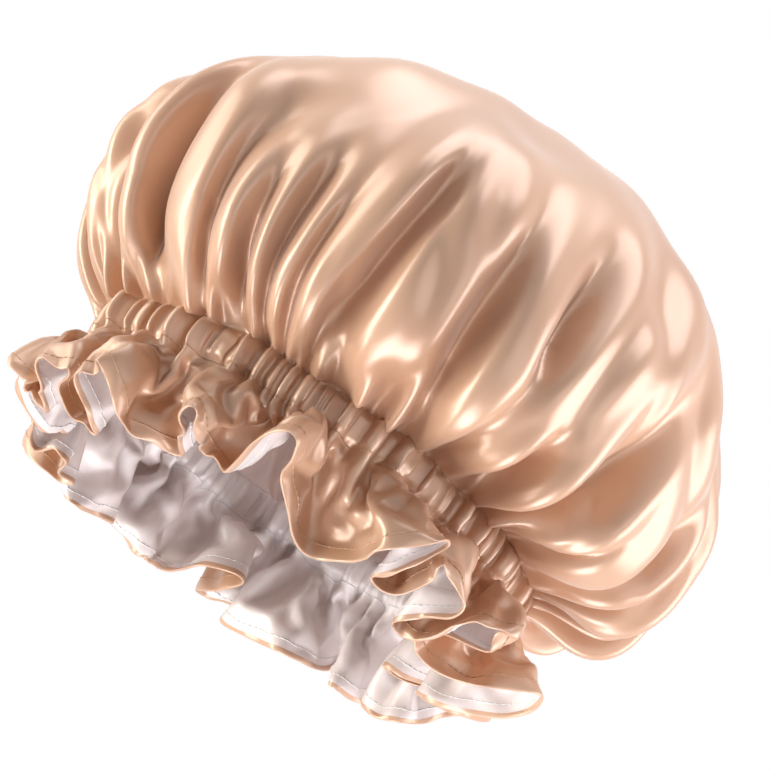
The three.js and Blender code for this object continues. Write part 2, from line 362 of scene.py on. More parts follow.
def crown_side(full):
    belly = between(*BELLY_RADIUS, full)
    belly_up = high_stitches + between(*BELLY_HEIGHT, full)
    leave_up = high_stitches + between(*LEAVE_UP, full)
    turn_up = high_stitches + between(*BELLY_TURN, full)
    low = curve(RING_RADIUS, RING_RADIUS + LEAVE_OUT, belly, belly)
    low_up = curve(high_stitches, leave_up, turn_up, belly_up)
    high = curve(belly, belly, TOP_REACH * belly, 0)
    high_up = curve(belly_up, (belly_up + crown_top) / 2, crown_top, crown_top)
    out = np.concatenate([low, high[1:]])
    up = np.concatenate([low_up, high_up[1:]])
    run = np.concatenate([[0], np.cumsum(np.hypot(np.diff(out), np.diff(up)))])
    even = np.linspace(0, run[-1], 2 * CURVE_STEPS)
    return np.interp(even, run, out), np.interp(even, run, up)


print("stitches at", round(low_stitches, 1), "and", round(high_stitches, 1), "mm, top", round(crown_top, 1))

# %% Outline all round
side_table = np.array([crown_side(full) for full in np.linspace(0, 1, SIDES)])


def crown_outline(angle, share):
    full = (1 + np.cos(angle)) / 2 * (SIDES - 1)
    row = np.minimum(full.astype(int), SIDES - 2)
    step = np.clip(share, 0, 1) * (2 * CURVE_STEPS - 1)
    column = np.minimum(step.astype(int), 2 * CURVE_STEPS - 2)
    along = (step - column)[..., None]
    around = (full - row)[..., None]
    low = between(side_table[row, :, column], side_table[row, :, column + 1], along)
    high = between(side_table[row + 1, :, column], side_table[row + 1, :, column + 1], along)
    return np.moveaxis(between(low, high, around), -1, 0)


print("crown outline:", SIDES, "sides,", side_table.shape[2], "steps each")

# %% [markdown]
# ## Folds
# The spare cloth stands in folds above the casing and in waves below it. A simulation makes folds
# of its own, but not the ones this bonnet has, so those of the crown are placed one by one. Each fold
# is a line from a place near the stitches to a place higher up, where it fades out. A ridge has
# a round top and a hollow ends in a sharp crease. The main ridges are the folds of the CAD model.
# The others are placed where the photograph shows them, and the side that it doesn't show gets
# hollows in a simple rhythm. Low billows with creases between them, and fine short ridges at the
# stitches, fill what is left. Cloth bends over before it can stand up as a fin, so the highest
# tips are blunted.

# %% Fold lines
# Each one: angle and share where it begins, angle and share where it ends, height and half width in mm.
MAIN_RIDGES = [
    (-172, 0, -166, 0.42, 10, 4.5), (-154, 0, -150, 0.50, 12, 4.5), (-134, 0, -137, 0.52, 14, 8),
    (-113, 0, -110, 0.34, 13, 3.5), (-93, 0, -95, 0.52, 13, 4), (-74, 0, -80, 0.54, 13, 4),
    (-54, 0, -57, 0.42, 11, 4.5), (-35, 0, -30, 0.40, 9, 4.5), (-13, 0, -11, 0.40, 10, 5),
    (7, 0, 6, 0.40, 10, 5), (27, 0, 28, 0.44, 11, 5), (46, 0, 45, 0.38, 10, 5),
    (66, 0, 67, 0.46, 11, 5), (87, 0, 86, 0.42, 10, 5), (107, 0, 108, 0.40, 11, 5),
    (126, 0, 125, 0.46, 10, 5), (147, 0, 148, 0.40, 11, 5), (168, 0, 169, 0.44, 10, 5),
]
SMALL_RIDGES = [
    (-182, 0, -181, 0.36, 7, 4), (-147, 0, -146, 0.09, 5, 3), (-127, 0.03, -122, 0.38, 11, 4),
    (-117, 0.02, -118, 0.38, 10, 3.5), (-107, 0, -102, 0.55, 14, 4), (-101, 0.12, -101, 0.46, 7, 3),
    (-88, 0.05, -88, 0.56, 8, 9), (-73, 0.08, -73, 0.55, 9, 3.5), (-67, 0.15, -63, 0.62, 9, 4),
    (-64, 0.04, -63, 0.30, 8, 3.5), (-61, 0.16, -53, 0.46, 8, 5), (-48, 0.24, -49, 0.62, 9, 4),
    (-46, 0, -33, 0.45, 12, 5), (-37, 0, -35, 0.32, 8, 4), (-28, 0, -32, 0.26, 7, 3.5),
    (-24, 0, -20, 0.36, 8, 4),
]
HOLLOWS = [
    (-179, 0, -178, 0.40, -8, 4), (-159, 0, -157, 0.42, -10, 4), (-148, 0, -143, 0.44, -12, 5),
    (-130, 0.02, -130, 0.38, -10, 4), (-121.5, 0.02, -120, 0.30, -8, 3), (-115, 0, -114, 0.34, -13, 3.5),
    (-110, 0.02, -107, 0.36, -9, 3), (-100, 0.04, -97, 0.46, -13, 6), (-79, 0.03, -84, 0.48, -13, 5),
    (-70, 0.22, -70, 0.48, -11, 5), (-59, 0.02, -61, 0.28, -10, 4), (-51, 0, -45, 0.42, -13, 4.5),
    (-41, 0.02, -37, 0.30, -7, 3), (-31, 0, -25, 0.34, -7, 4), (-18, 0, -16, 0.30, -6, 4),
]
FAR_HOLLOWS = 14
FINE_RIDGES = 64


def far_hollow(count):
    angle = 2 + 12 * count + 2 * math.sin(2.3 * count)
    end = angle + 3 * math.sin(3.1 * count)
    return angle, 0, end, 0.34 + 0.08 * math.sin(1.7 * count + 1), -8 - 2.5 * math.sin(2.9 * count), 4.5


def fine_ridge(count):
    angle = 360 / FINE_RIDGES * count + 2 * math.sin(2.1 * count)
    end = angle + 2 * math.sin(1.3 * count)
    return angle, 0, end, 0.17 + 0.08 * math.sin(2.7 * count + 0.5), 4 + 2 * math.sin(3.7 * count), 2.2


folds = MAIN_RIDGES + SMALL_RIDGES + HOLLOWS
folds = folds + [far_hollow(count) for count in range(FAR_HOLLOWS)]
folds = folds + [fine_ridge(count) for count in range(FINE_RIDGES)]
print("crown folds:", len(MAIN_RIDGES), "main ridges,", len(SMALL_RIDGES), "small,", len(HOLLOWS), "hollows")

# %% Shape of one fold
FOLD_HEIGHT = 1.25
FOLD_SWELL = (-0.02, 0.3)
FOLD_FADE = (0.4, 1.15)
FOLD_WIDENS = (0.7, 0.6)
RIDGE_ROUND = 0.6
CREASE_ROUND = 0.3
NARROWEST = 40


def fold_relief(angle, share, out, fold):
    first, begin, last, end, height, width = fold
    along = (share - begin) / (end - begin)
    run = np.clip(along, 0, 1.2)
    middle = np.radians(between(first, last, run))
    lasting = smooth_step(*FOLD_SWELL, along) * (1 - smooth_step(*FOLD_FADE, along))
    aside = ((angle - middle + np.pi) % TURN - np.pi) * np.maximum(out, NARROWEST)
    aside = aside / (width * (FOLD_WIDENS[0] + FOLD_WIDENS[1] * run))
    round_top = np.exp(-(RIDGE_ROUND * aside) ** 2)
    crease = np.exp(CREASE_ROUND - np.hypot(CREASE_ROUND, aside))
    return FOLD_HEIGHT * height * lasting * (round_top if height > 0 else crease)


print("a fold of 10 mm stands", 10 * FOLD_HEIGHT, "mm high")

# %% Billows
BILLOWS = (2.2, 1.6)
BILLOW_SOFT = 0.02
BILLOW_GROUND = 0.65
BILLOW_SWELL = (0.03, 0.2)
BILLOW_FADE = (0.3, 0.6)


def billow(turn):
    return np.sqrt(np.sin(turn) ** 2 + BILLOW_SOFT) - BILLOW_GROUND


def billows(angle, share):
    wide = 11 * angle + 1.8 * np.sin(4 * angle + 7 * share) + 1.2 * np.sin(7 * angle - 5 * share + 2)
    tight = 19 * angle + 2 * np.sin(5 * angle - 8 * share + 1) + 1.4 * np.sin(9 * angle + 6 * share)
    rise = BILLOWS[0] * (1 + 0.7 * np.sin(3 * angle + 8 * share + 1)) * billow(wide)
    rise = rise + BILLOWS[1] * (1 + np.sin(5 * angle - 7 * share)) * billow(tight)
    return rise * smooth_step(*BILLOW_SWELL, share) * (1 - smooth_step(*BILLOW_FADE, share))


print("billows:", BILLOWS, "mm")

# %% All folds of the crown
FOLD_GROUND = 4.0
GROUND_SWELL = (0, 0.08)
GROUND_FADE = (0.25, 0.6)
TIP_FROM = -1.0
TIP_ROOM = 6.0


def blunt_tips(relief):
    over = np.maximum(relief - TIP_FROM, 0)
    return np.minimum(relief, TIP_FROM) + TIP_ROOM * np.tanh(over / TIP_ROOM)


def crown_folds(angle, share, out):
    relief = -FOLD_GROUND * (1 - smooth_step(*GROUND_FADE, share)) * smooth_step(*GROUND_SWELL, share)
    for fold in folds:
        relief = relief + fold_relief(angle, share, out, fold)
    relief = blunt_tips(relief) + billows(angle, share)
    soft = np.sin(np.pi * share) ** 2
    swell = 3 * np.cos(angle + 1.05) - 2
    swell = swell + 1.7 * np.sin(5 * angle + 9 * share + 0.6)
    swell = swell + 1.5 * np.sin(8 * angle - 13 * share + 1)
    swell = swell + 1.0 * np.sin(13 * angle + 17 * share + 2)
    return relief + swell * soft


print("folds and billows:", len(folds), "folds, tips up to", TIP_FROM + TIP_ROOM, "mm")

# %% Gathers at the stitches
GATHERS = 56
GATHER_DEPTH = 5.0
GATHER_REACH = 0.06
GATHER_OUT = 0.3
GATHER_SOFT = 0.5
ROW_WANDER = 1.1


def stitch_gathers(angle):
    beat = GATHERS * angle + 2.4 * np.sin(7 * angle + 0.3) + 1.7 * np.sin(11 * angle + 1.9)
    beat = beat + 1.2 * np.sin(17 * angle + 0.5) + 0.7 * np.sin(29 * angle + 2.5)
    strength = 1 + 0.5 * np.sin(9 * angle + 2) + 0.4 * np.sin(13 * angle + 0.8)
    gather = GATHER_DEPTH * (strength + 0.25 * np.sin(23 * angle + 4.1)) * np.sin(beat)
    return between(gather, np.hypot(gather, GATHER_SOFT), GATHER_OUT) - GATHER_SOFT * GATHER_OUT


def row_wander(angle):
    return ROW_WANDER * (np.sin(9 * angle + 1.1) + 0.7 * np.sin(16 * angle + 2.6)) / 1.7


print("gathers round the casing:", GATHERS)

# %% [markdown]
# ## Where the cloth starts
# Every point of the disc gets a place. The crown stands on its outline with its folds, which lean
# over to one side, as folds of soft cloth do. The casing starts with small gathers, and the ruffle
# as a wave with one crest under each main ridge. On the left side the wave is calmer.

# %% Place of the crown
FOLD_LEAN = 0.55
UPRIGHT_FOLD = np.radians(-70)
SLOPE_STEP = 0.004


def crown_place(angle, share):
    out, up = crown_outline(angle, share)
    out_before, up_before = crown_outline(angle, share - SLOPE_STEP)
    out_after, up_after = crown_outline(angle, share + SLOPE_STEP)
    run = np.hypot(out_after - out_before, up_after - up_before) + 1e-9
    at_stitches = np.exp(-share / GATHER_REACH)
    relief = crown_folds(angle, share, out) + stitch_gathers(angle) * at_stitches
    aside = angle - FOLD_LEAN * np.sin(angle - UPRIGHT_FOLD) * relief / np.maximum(out, NARROWEST)
    out = out + relief * (up_after - up_before) / run
    up = up - relief * (out_after - out_before) / run + row_wander(angle) * at_stitches
    rise = np.clip((up - high_stitches) / (crown_top - high_stitches), 0, None)
    lean = CROWN_LEAN * rise**2
    return np.stack([out * np.cos(aside) + lean, out * np.sin(aside), up], -1)


print("folds lean by up to", FOLD_LEAN, "of their height")

# %% Start of the casing and the ruffle
CASING_PUFF = 0.8
WAVE_OUT = 14
WAVE_UP = 10
WAVE_ASIDE = 4.5
HEM_RADIUS = (99, 115)
HEM_SHY = 9
CALM = 0.6
STITCHES_REACH = 0.22
ridge_angles = np.radians([ridge[0] for ridge in MAIN_RIDGES])
WAVES = len(ridge_angles)


def calm_side(angle):
    return smooth_step(0.4, 1, -np.cos(angle))


def ruffle_wave(angle):
    place = np.append(ridge_angles, ridge_angles[0] + TURN)
    wave = np.interp((angle - place[0]) % TURN + place[0], place, np.arange(WAVES + 1))
    strength = 1 + 0.17 * np.sin(4 * angle + 1) + 0.12 * np.sin(7 * angle + 0.4)
    strength = strength * (1 - CALM * calm_side(angle))
    return np.cos(TURN * wave), -np.sin(2 * TURN * wave), strength


def casing_start(angle, share):
    out = RING_RADIUS + stitch_gathers(angle) + CASING_PUFF * np.sin(np.pi * share)
    up = between(high_stitches, low_stitches, share) + row_wander(angle)
    return np.stack([out * np.cos(angle), out * np.sin(angle), up], -1)


def ruffle_start(angle, share):
    wave, twice, strength = ruffle_wave(angle)
    hem = between(*HEM_RADIUS, np.sin(angle) ** 2) - HEM_SHY * calm_side(angle)
    out = between(RING_RADIUS, hem, share) + stitch_gathers(angle) * np.exp(-share / STITCHES_REACH)
    out = out + WAVE_OUT * strength * wave * smooth_step(0, 1, share) ** 0.8
    turned = angle - WAVE_ASIDE * share * twice / hem
    lift = WAVE_UP * ((1 - CALM * calm_side(angle)) * wave + 0.5)
    up = between(low_stitches + row_wander(angle), lift, share)
    return np.stack([out * np.cos(turned), out * np.sin(turned), up], -1)


print("ruffle:", WAVES, "waves")


# %% Start of the whole cloth
def cloth_start():
    crown_share = np.clip((UPPER_STITCH - flat_distance) / FLAT_CROWN, 0, 1)
    casing_share = np.clip((flat_distance - UPPER_STITCH) / FLAT_CASING, 0, 1)
    ruffle_share = np.clip((flat_distance - LOWER_STITCH) / FLAT_RUFFLE, 0, 1)
    crown = crown_place(flat_angle, crown_share)
    casing = casing_start(flat_angle, casing_share)
    ruffle = ruffle_start(flat_angle, ruffle_share)
    below_crown = (flat_distance >= UPPER_STITCH)[:, None]
    below_casing = (flat_distance > LOWER_STITCH)[:, None]
    return np.where(below_casing, ruffle, np.where(below_crown, casing, crown))


start_points = cloth_start()
print("start shape:", np.round(start_points.min(0)), np.round(start_points.max(0)), "mm")

# %% [markdown]
# ## Letting the ruffle settle
# A plain wave looks like a bottle cap, so Blender's cloth takes the casing and the ruffle from there.
# Its rest shape is the flat disc, so the cloth knows how much of it there is: the spare length
# round each ring curls the wave into flutes, as gathering does. The two stitched rows are pinned,
# the cloth keeps clear of itself, and gravity pulls a little, the way it pulls in the photograph.
# Near the lower stitches the start shape stays, because the thread holds the cloth there.
# Blender reads the flat rest shape only when another modifier comes before Cloth, so an edit of
# an empty vertex group, which changes nothing, goes first.

# %% Loose cloth with its flat shape
def flat_points():
    x = flat_distance * np.cos(flat_angle)
    y = flat_distance * np.sin(flat_angle)
    return np.stack([x, y, np.zeros_like(x)], -1)


def loose_object(points, flat, faces):
    mesh = bpy.data.meshes.new("loose_cloth")
    mesh.from_pydata((points * MM).tolist(), [], faces.tolist())
    loose = bpy.data.objects.new("loose_cloth", mesh)
    scene.collection.objects.link(loose)
    loose.shape_key_add(name="Basis")
    rest = loose.shape_key_add(name="flat")
    rest.data.foreach_set("co", (flat * MM).ravel())
    return loose


print("area of the flat cloth:", round(math.pi * (HEM * MM) ** 2, 3), "square metres")

# %% Cloth settings
SETTLE_FRAMES = 25
SETTLE_PULL = 0.1
KEPT_APART = 1.2
CLOTH = dict(
    quality=8, mass=0.05, tension_stiffness=60, compression_stiffness=60, shear_stiffness=10,
    bending_stiffness=1, tension_damping=2, compression_damping=2, shear_damping=2,
    bending_damping=0.5, air_damping=1.0, vertex_group_mass="stitched",
)


def keep_apart(modifier):
    touch = modifier.collision_settings
    touch.use_collision = False
    touch.use_self_collision = True
    touch.self_distance_min = KEPT_APART * MM
    touch.collision_quality = 3


def add_cloth(loose, pinned):
    group = loose.vertex_groups.new(name="stitched")
    group.add(pinned.tolist(), 1.0, "REPLACE")
    loose.vertex_groups.new(name="nothing")
    loose.modifiers.new("first", "VERTEX_WEIGHT_EDIT").vertex_group = "nothing"
    modifier = loose.modifiers.new("cloth", "CLOTH")
    keep_apart(modifier)
    modifier.point_cache.frame_end = SETTLE_FRAMES
    settings = modifier.settings
    for name, value in CLOTH.items():
        setattr(settings, name, value)
    settings.rest_shape_key = loose.data.shape_keys.key_blocks["flat"]
    settings.effector_weights.gravity = SETTLE_PULL


print("cloth settles for", SETTLE_FRAMES, "frames and keeps", KEPT_APART, "mm apart")

# %% Settle a part of the cloth
PULL = upright * -9.8


def settled(points, chosen):
    faces = cloth_faces[chosen[cloth_faces].all(1)]
    numbers = np.cumsum(chosen) - 1
    stitched = np.isin(flat_distance, (UPPER_STITCH, LOWER_STITCH))
    loose = loose_object(points[chosen], flat_points()[chosen], numbers[faces])
    add_cloth(loose, np.nonzero(stitched[chosen])[0])
    usual_pull = scene.gravity.copy()
    scene.gravity = PULL
    for count in range(1, SETTLE_FRAMES + 1):
        scene.frame_set(count)
    shown = loose.evaluated_get(bpy.context.evaluated_depsgraph_get())
    found = np.empty(3 * int(chosen.sum()))
    shown.data.vertices.foreach_get("co", found)
    bpy.data.objects.remove(loose)
    scene.frame_set(1)
    scene.gravity = usual_pull
    return found.reshape(-1, 3) / MM


# %% Settle the ruffle
HELD_BY_STITCHES = 12
cloth_points = start_points.copy()
in_ruffle = flat_distance >= UPPER_STITCH
found = settled(start_points, in_ruffle)
free = smooth_step(LOWER_STITCH, LOWER_STITCH + HELD_BY_STITCHES, flat_distance[in_ruffle])
free[flat_distance[in_ruffle] < LOWER_STITCH] = 1
cloth_points[in_ruffle] = between(start_points[in_ruffle], found, free[:, None])
moved = np.linalg.norm(cloth_points - start_points, axis=1)
print("settled: moved", round(moved.mean(), 1), "mm on average,", round(moved.max(), 1), "at most")

# %% [markdown]
# ## The two sheets of satin
# The settled cloth is one surface. The gold satin is that surface moved out by a fraction of
# a millimetre, and the white lining the same surface moved in, so that both have the same folds,
# as two cloths sewn together do. Between the casing's stitches they part to make room for the elastic.
# At the hem the gold turns over the edge and shows as a thin rim on the white side.

# %% Room between the sheets
HALF_GAP = 0.3
HEM_HALF_GAP = 0.55
STITCH_HALF_GAP = 0.14
HEM_WIDTH = 9.0
ELASTIC_ROOM = 1.0
CASING_PARTING = 1.4
PARTING_SOFT = 1.5


def cloth_normals(points):
    corner = points[cloth_faces]
    slope = np.cross(corner[:, 2] - corner[:, 0], corner[:, 3] - corner[:, 1])
    total = np.zeros_like(points)
    for count in range(4):
        np.add.at(total, cloth_faces[:, count], slope)
    return total / np.linalg.norm(total, axis=1, keepdims=True)


def half_gaps():
    to_hem = smooth_step(HEM - HEM_WIDTH, HEM - HEM_STITCH_IN, flat_distance)
    gap = between(HALF_GAP, HEM_HALF_GAP, to_hem)
    gap[np.isin(flat_distance, (UPPER_STITCH, LOWER_STITCH))] = STITCH_HALF_GAP
    gap[ring_at(HEM - HEM_STITCH_IN)] = STITCH_HALF_GAP
    return gap[:, None]


def parted_casing(points, side):
    inside = (flat_distance > UPPER_STITCH) & (flat_distance < LOWER_STITCH)
    share = (flat_distance[inside] - UPPER_STITCH) / FLAT_CASING
    out = np.hypot(points[inside, 0], points[inside, 1])
    room = side * (out - RING_RADIUS) + CASING_PARTING * np.sin(np.pi * share) - ELASTIC_ROOM
    parted = RING_RADIUS + side * (ELASTIC_ROOM + (room + np.hypot(room, PARTING_SOFT)) / 2)
    points[inside, :2] *= (parted / out)[:, None]
    return points


normals = cloth_normals(cloth_points)
gold_points = parted_casing(cloth_points + normals * half_gaps(), 1)
white_points = parted_casing(cloth_points - normals * half_gaps(), -1)
print("half gaps:", HALF_GAP, "mm, at the hem", HEM_HALF_GAP, "mm")

# %% Turned hem
HEM_ROLL = 0.6
HEM_TURN = 1.6
ROLL_ANGLES = (60, 120, 180)
LINING_SHORT = 0.9


def hem_roll():
    edge = cloth_rings[-1]
    outward = cloth_points[edge] - cloth_points[cloth_rings[-2]]
    outward = outward / np.linalg.norm(outward, axis=1, keepdims=True)
    rows = []
    for degrees in ROLL_ANGLES:
        turn = math.radians(degrees)
        over = outward * math.sin(turn) + normals[edge] * math.cos(turn)
        rows.append(cloth_points[edge] + over * HEM_ROLL)
    rows.append(rows[-1] - outward * HEM_TURN)
    return rows


def hemmed_gold():
    rows = hem_roll()
    points = np.concatenate([gold_points] + rows)
    faces = [cloth_faces]
    last = cloth_rings[-1]
    for count in range(len(rows)):
        ring = len(gold_points) + count * COLUMNS + np.arange(COLUMNS)
        faces.append(ring_faces(last, ring))
        last = ring
    return points, np.concatenate(faces)


def shortened_lining():
    points = white_points.copy()
    edge, before = cloth_rings[-1], cloth_rings[-2]
    back = points[before] - points[edge]
    points[edge] += back / np.linalg.norm(back, axis=1, keepdims=True) * LINING_SHORT
    return points


print("hem turns over by", HEM_TURN, "mm, lining stops", LINING_SHORT, "mm short")

# %% Sheets as objects
CUT_WIDTH = 2 * (HEM + 2 * HEM_TURN)
edge_angles = np.tile(flat_angle[cloth_rings[-1]], len(ROLL_ANGLES) + 1)
edge_distances = np.repeat(HEM + HEM_ROLL * np.arange(1, len(ROLL_ANGLES) + 2), COLUMNS)


def cut_places(distance, angle):
    place = np.stack([np.cos(angle), np.sin(angle)], -1) * distance[:, None]
    return place / CUT_WIDTH + 0.5


def cloth_object(name, points, faces, cut):
    mesh = bpy.data.meshes.new(name)
    mesh.from_pydata((points * MM).tolist(), [], faces.tolist())
    corners = np.empty(len(mesh.loops), dtype=np.int32)
    mesh.loops.foreach_get("vertex_index", corners)
    mesh.uv_layers.new(name="cut").data.foreach_set("uv", cut[corners].ravel())
    piece = bpy.data.objects.new(name, mesh)
    scene.collection.objects.link(piece)
    return piece


def soften(piece):
    bpy.ops.object.select_all(action="DESELECT")
    piece.select_set(True)
    bpy.context.view_layer.objects.active = piece
    step = piece.modifiers.new("soften", "SUBSURF")
    step.levels = 1
    step.render_levels = 1
    bpy.ops.object.modifier_apply(modifier=step.name)
    bpy.ops.object.shade_smooth()
    return piece


gold_mesh_points, gold_faces = hemmed_gold()
gold_cut = cut_places(
    np.concatenate([flat_distance, edge_distances]), np.concatenate([flat_angle, edge_angles])
)
gold = soften(cloth_object("gold_satin", gold_mesh_points, gold_faces, gold_cut))
white = soften(
    cloth_object(
        "white_lining", shortened_lining(), cloth_faces[:, ::-1], cut_places(flat_distance, flat_angle)
    )
)
for sheet in (gold, white):
    print(sheet.name, len(sheet.data.polygons), "faces")

# %% [markdown]
# ## The rows of stitches
# Three rows are sewn: the two that make the casing, and the topstitching of the hem. A sewing
# machine makes each row from two threads, a needle thread on the gold side and a bobbin thread on
# the white side, which lock inside the cloth at every hole. So each thread here is one closed run
# of tube that lies on its sheet between the holes and dips into it at each hole.

# %% Threads
THREAD_RADIUS = 0.2
STITCH_LENGTH = 2.6
STITCH_RISE = (-0.25, 0.12, 0.2, 0.12)
TUBE_SIDES = 6


def closed_curve(points, count):
    # A smooth curve through all the points, back to the first one.
    place = np.arange(count) * len(points) / count
    number = place.astype(int)
    t = (place - number)[:, None]
    before, start, end, after = (points[(number + k) % len(points)] for k in (-1, 0, 1, 2))
    lift = 2 * start + (end - before) * t
    lift = lift + (2 * before - 5 * start + 4 * end - after) * t**2
    return 0.5 * (lift + (3 * start - before - 3 * end + after) * t**3)


def laid_on(sheet, path):
    tree = BVHTree.FromObject(sheet, bpy.context.evaluated_depsgraph_get())
    found = [tree.find_nearest(Vector(point * MM)) for point in path]
    place = np.array([hit[0] for hit in found]) / MM
    facing = np.array([hit[1] for hit in found])
    return place, facing


def tube_mesh(name, path, facing, radius):
    along = np.roll(path, -1, axis=0) - np.roll(path, 1, axis=0)
    along = along / np.linalg.norm(along, axis=1, keepdims=True)
    side = np.cross(along, facing)
    side = side / np.linalg.norm(side, axis=1, keepdims=True)
    up = np.cross(side, along)
    turns = np.arange(TUBE_SIDES) * TURN / TUBE_SIDES
    rim = [path + radius * (side * math.cos(a) + up * math.sin(a)) for a in turns]
    points = np.stack(rim, 1).reshape(-1, 3)
    number = np.arange(len(points)).reshape(-1, TUBE_SIDES)
    ahead_ring = np.roll(number, -1, axis=0)
    corners = [number, np.roll(number, -1, axis=1), np.roll(ahead_ring, -1, axis=1), ahead_ring]
    mesh = bpy.data.meshes.new(name)
    mesh.from_pydata((points * MM).tolist(), [], np.stack(corners, -1).reshape(-1, 4).tolist())
    mesh.shade_smooth()
    return mesh


print("thread:", 2 * THREAD_RADIUS, "mm thick, stitches", STITCH_LENGTH, "mm long")


# %% Sew the rows
def sewn_thread(name, distance, sheet):
    stitches = round(TURN * distance / STITCH_LENGTH)
    path = closed_curve(cloth_points[ring_at(distance)], stitches * len(STITCH_RISE))
    place, facing = laid_on(sheet, path)
    rise = np.tile(STITCH_RISE, stitches)[:, None]
    mesh = tube_mesh(name, place + facing * rise, facing, THREAD_RADIUS)
    thread = bpy.data.objects.new(name, mesh)
    scene.collection.objects.link(thread)
    print(name, stitches, "stitches")
    return thread


ROWS = {"hem": HEM - HEM_STITCH_IN, "lower_casing": LOWER_STITCH, "upper_casing": UPPER_STITCH}
needle_threads = {row: sewn_thread(row + "_topstitch", at, gold) for row, at in ROWS.items()}
bobbin_threads = {row: sewn_thread(row + "_understitch", at, white) for row, at in ROWS.items()}

# %% [markdown]
# ## The elastic
# A flat braided elastic runs round inside the casing. Its ends overlap and a zigzag of thread tacks
# them. It can't be seen in the finished bonnet, but it is what gathers the cloth, so it is there.
# A ring would be easier, but a strip that winds a little outwards as it goes round overlaps itself
# as the real one does.

# %% Elastic strip
elastic_low, elastic_high = (np.array(corner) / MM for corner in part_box("elastic_band"))
ELASTIC_WIDTH = elastic_high[2] - elastic_low[2]
ELASTIC_MIDDLE = (elastic_high[2] + elastic_low[2]) / 2
ELASTIC_THICKNESS = 0.6
ELASTIC_LAP = 14.0
ELASTIC_STEPS = 240
ELASTIC_WIND = 0.55
PROFILE_POINTS = 20
PROFILE_SQUARE = (0.3, 0.5)
tack_low, tack_high = (np.array(corner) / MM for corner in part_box("elastic_lap_tack"))
tack_middle = (tack_low + tack_high) / 2
lap_angle = math.atan2(tack_middle[1], tack_middle[0])


def elastic_profile():
    turn = np.arange(PROFILE_POINTS) * TURN / PROFILE_POINTS
    wide = np.sign(np.cos(turn)) * np.abs(np.cos(turn)) ** PROFILE_SQUARE[0]
    thick = np.sign(np.sin(turn)) * np.abs(np.sin(turn)) ** PROFILE_SQUARE[1]
    return wide * ELASTIC_WIDTH / 2, thick * ELASTIC_THICKNESS / 2


def elastic_points():
    half_lap = ELASTIC_LAP / RING_RADIUS / 2
    share = np.linspace(0, 1, ELASTIC_STEPS + 1)[:, None]
    turn = lap_angle + between(-half_lap, TURN + half_lap, share)
    wide, thick = elastic_profile()
    wind = between(-ELASTIC_WIND, ELASTIC_WIND, share) * ELASTIC_THICKNESS
    out = RING_RADIUS + wind + thick[None, :]
    up = np.broadcast_to(ELASTIC_MIDDLE + wide[None, :], out.shape)
    return np.stack([out * np.cos(turn), out * np.sin(turn), up], -1)


def elastic_strip():
    points = elastic_points()
    number = np.arange(points[..., 0].size).reshape(points.shape[:2])
    beside = np.roll(number, -1, axis=1)
    corners = [number[:-1], beside[:-1], beside[1:], number[1:]]
    faces = np.stack(corners, -1).reshape(-1, 4).tolist()
    faces += [number[0, ::-1].tolist(), number[-1].tolist()]
    mesh = bpy.data.meshes.new("elastic")
    mesh.from_pydata((points.reshape(-1, 3) * MM).tolist(), [], faces)
    mesh.shade_smooth()
    strip = bpy.data.objects.new("elastic", mesh)
    scene.collection.objects.link(strip)
    return strip


elastic = elastic_strip()
print("elastic:", round(ELASTIC_WIDTH, 1), "mm wide at", round(ELASTIC_MIDDLE, 1), "mm")

# %% Zigzag tack
TACK_POINTS = 11
TACK_HEIGHT = 5.0
TACK_LENGTH = 9.0
TACK_THREAD = 0.2
TACK_OUT = 1.05 * ELASTIC_THICKNESS + TACK_THREAD


def zigzag_tack():
    line = bpy.data.curves.new("elastic_tack", "CURVE")
    line.dimensions = "3D"
    line.bevel_depth = TACK_THREAD * MM
    line.bevel_resolution = 1
    line.use_fill_caps = True
    run = line.splines.new("POLY")
    run.points.add(TACK_POINTS - 1)
    for count, point in enumerate(run.points):
        turn = lap_angle + (count / (TACK_POINTS - 1) - 0.5) * TACK_LENGTH / RING_RADIUS
        out = (RING_RADIUS + TACK_OUT) * MM
        up = (ELASTIC_MIDDLE + TACK_HEIGHT * (count % 2 - 0.5)) * MM
        point.co = (out * math.cos(turn), out * math.sin(turn), up, 1)
    tack = bpy.data.objects.new("elastic_tack", line)
    scene.collection.objects.link(tack)
    bpy.ops.object.select_all(action="DESELECT")
    tack.select_set(True)
    bpy.context.view_layer.objects.active = tack
    bpy.ops.object.convert(target="MESH")
    return bpy.context.object


tack = zigzag_tack()
print("tack:", TACK_POINTS - 1, "legs")

# %% [markdown]
# ## Satin
# Satin is woven so that long threads float over its face. That gives it a soft, bright gloss,
# and a fine grain along the threads. It is thin, so some light comes through it. The finish is
# a glossy shader with a little see-through light mixed in, a grain that follows the flat cut,
# stretched along the floating threads, and slow changes in colour and gloss.

# %% Patterns on the flat cut
NOISE_LOW = 0.3
NOISE_HIGH = 0.7


def stretched_noise(tree, along, crosswise, detail):
    cut = node_in(tree, "ShaderNodeUVMap", uv_map="cut")
    fit = node_in(tree, "ShaderNodeMapping")
    grain = node_in(tree, "ShaderNodeTexNoise")
    fit.inputs["Scale"].default_value = (along, crosswise, 1)
    grain.inputs["Scale"].default_value = 1.0
    grain.inputs["Detail"].default_value = detail
    tree.links.new(cut.outputs["UV"], fit.inputs["Vector"])
    tree.links.new(fit.outputs["Vector"], grain.inputs["Vector"])
    return grain


def value_range(tree, source, low, high):
    fit = node_in(tree, "ShaderNodeMapRange")
    fit.inputs["From Min"].default_value = NOISE_LOW
    fit.inputs["From Max"].default_value = NOISE_HIGH
    fit.inputs["To Min"].default_value = low
    fit.inputs["To Max"].default_value = high
    tree.links.new(source, fit.inputs["Value"])
    return fit.outputs["Result"]


